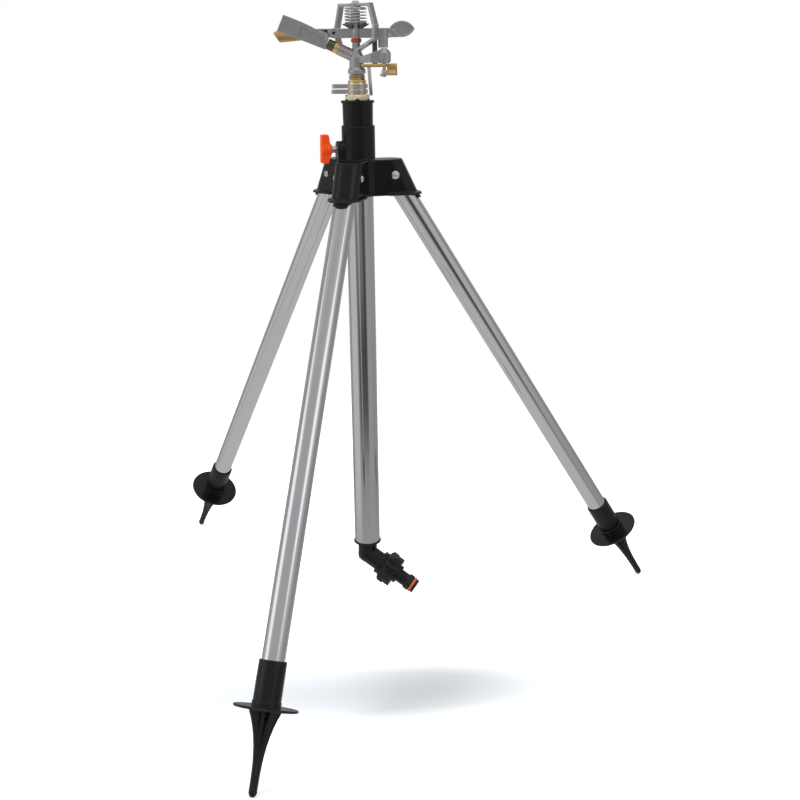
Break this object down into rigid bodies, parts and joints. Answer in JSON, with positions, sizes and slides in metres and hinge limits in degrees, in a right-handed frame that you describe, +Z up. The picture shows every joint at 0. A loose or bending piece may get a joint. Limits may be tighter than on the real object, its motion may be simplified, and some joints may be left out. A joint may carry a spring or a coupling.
{
  "type": "tripod impact sprinkler",
  "caption": "Impact sprinkler head with part-circle trip on a telescoping riser column, held by a folding tripod with ground spikes and a hose inlet at the bottom.",
  "frame": {"origin": "on the ground plane that the three spike tips stand on, on the axis of the riser column", "axes": "+Z up along the column; -Y towards the front leg, the other two legs at 30 and 150 degrees from +X; the hose inlet points along about +X"},
  "size_m": [0.5322, 0.4671, 0.5917],
  "materials": {
    "black_plastic": "satin moulded black polypropylene",
    "tube_aluminium": "drawn, clear anodised",
    "knob_plastic": "satin orange-red",
    "plated_steel": "zinc plated",
    "zinc_casting": "die-cast zinc, as cast, satin",
    "brass": "turned and stamped, plain",
    "nickel_strip": "nickel-plated spring steel",
    "stainless": "stainless wire and pins",
    "dark_steel": "dark phosphated",
    "grey_metal": "pressed steel, dull grey",
    "black_rubber": "plain",
    "orange_rubber": "plain",
    "red_washer": "fibre washer",
    "seal_plastic": "low-friction sealing plastic"
  },
  "bodies": {
    "hub": {"hub": "black_plastic", "leg_rivets": "plated_steel", "clamp_nut": "plated_steel"},
    "clamp": {"clamp_screw": "plated_steel", "wing_knob": "knob_plastic"},
    "leg_front": {"leg_tube_front": "tube_aluminium", "leg_plug_front": "black_plastic", "foot_front": "black_plastic"},
    "leg_right": {"leg_tube_right": "tube_aluminium", "leg_plug_right": "black_plastic", "foot_right": "black_plastic"},
    "leg_left": {"leg_tube_left": "tube_aluminium", "leg_plug_left": "black_plastic", "foot_left": "black_plastic"},
    "column": {"column_tube": "tube_aluminium", "column_cap": "black_plastic", "cap_oring": "black_rubber", "inlet_elbow": "black_plastic", "elbow_oring": "black_rubber", "inlet_washer": "black_rubber", "hose_adaptor": "black_plastic", "hose_oring": "orange_rubber", "nipple_washer": "black_rubber", "bearing_nipple": "brass", "bearing_seal": "seal_plastic", "collar_ring": "brass"},
    "collar_lower": {"friction_collar_lower": "nickel_strip"},
    "collar_upper": {"friction_collar_upper": "nickel_strip"},
    "head": {"bearing_sleeve": "brass", "bearing_spring": "stainless", "sprinkler_body": "zinc_casting", "range_nozzle": "brass", "fulcrum_pin": "stainless", "arm_washer": "red_washer", "trip_pin": "stainless"},
    "arm": {"impact_arm": "zinc_casting", "deflector": "brass", "spring_seat": "grey_metal", "arm_spring": "stainless"},
    "trip": {"trip_plate": "brass", "trip_finger": "nickel_strip", "trip_pawl": "dark_steel", "trip_spring": "stainless"}
  },
  "joints": [
    {"name": "clamp_turn", "type": "hinge", "parent": "hub", "child": "clamp", "pos_m": [-0.02425, -0.014, 0.46595], "axis": [0.866, 0.5, 0], "range_deg": [-360, 0]},
    {"name": "leg_front_fold", "type": "hinge", "parent": "hub", "child": "leg_front", "pos_m": [0, -0.031, 0.44245], "axis": [-1, 0, 0], "range_deg": [-29.5, 0]},
    {"name": "leg_right_fold", "type": "hinge", "parent": "hub", "child": "leg_right", "pos_m": [0.02685, 0.0155, 0.44245], "axis": [0.5, -0.866, 0], "range_deg": [-29.5, 0]},
    {"name": "leg_left_fold", "type": "hinge", "parent": "hub", "child": "leg_left", "pos_m": [-0.02685, 0.0155, 0.44245], "axis": [0.5, 0.866, 0], "range_deg": [-29.5, 0]},
    {"name": "column_slide", "type": "slide", "parent": "hub", "child": "column", "axis": [0, 0, 1], "range_m": [0, 0.33]},
    {"name": "collar_lower_turn", "type": "hinge", "parent": "column", "child": "collar_lower", "pos_m": [0, 0, 0.51555], "axis": [0, 0, 1], "range_deg": [-195, 125]},
    {"name": "collar_upper_turn", "type": "hinge", "parent": "column", "child": "collar_upper", "pos_m": [0, 0, 0.52015], "axis": [0, 0, 1], "range_deg": [-195, 125]},
    {"name": "head_swivel", "type": "hinge", "parent": "column", "child": "head", "pos_m": [0, 0, 0.52795], "axis": [0, 0, 1], "range_deg": [-125, 195]},
    {"name": "arm_swing", "type": "hinge", "parent": "head", "child": "arm", "pos_m": [0, 0, 0.56795], "axis": [0, 0, 1], "range_deg": [0, 100], "stiffness_Nm_per_rad": 0.02, "springref_deg": -34.38, "deforming": ["arm_spring"]},
    {"name": "trip_flip", "type": "hinge", "parent": "head", "child": "trip", "pos_m": [0.02468, 0.00171, 0.53595], "axis": [0, 0, 1], "range_deg": [0, 14]}
  ]
}
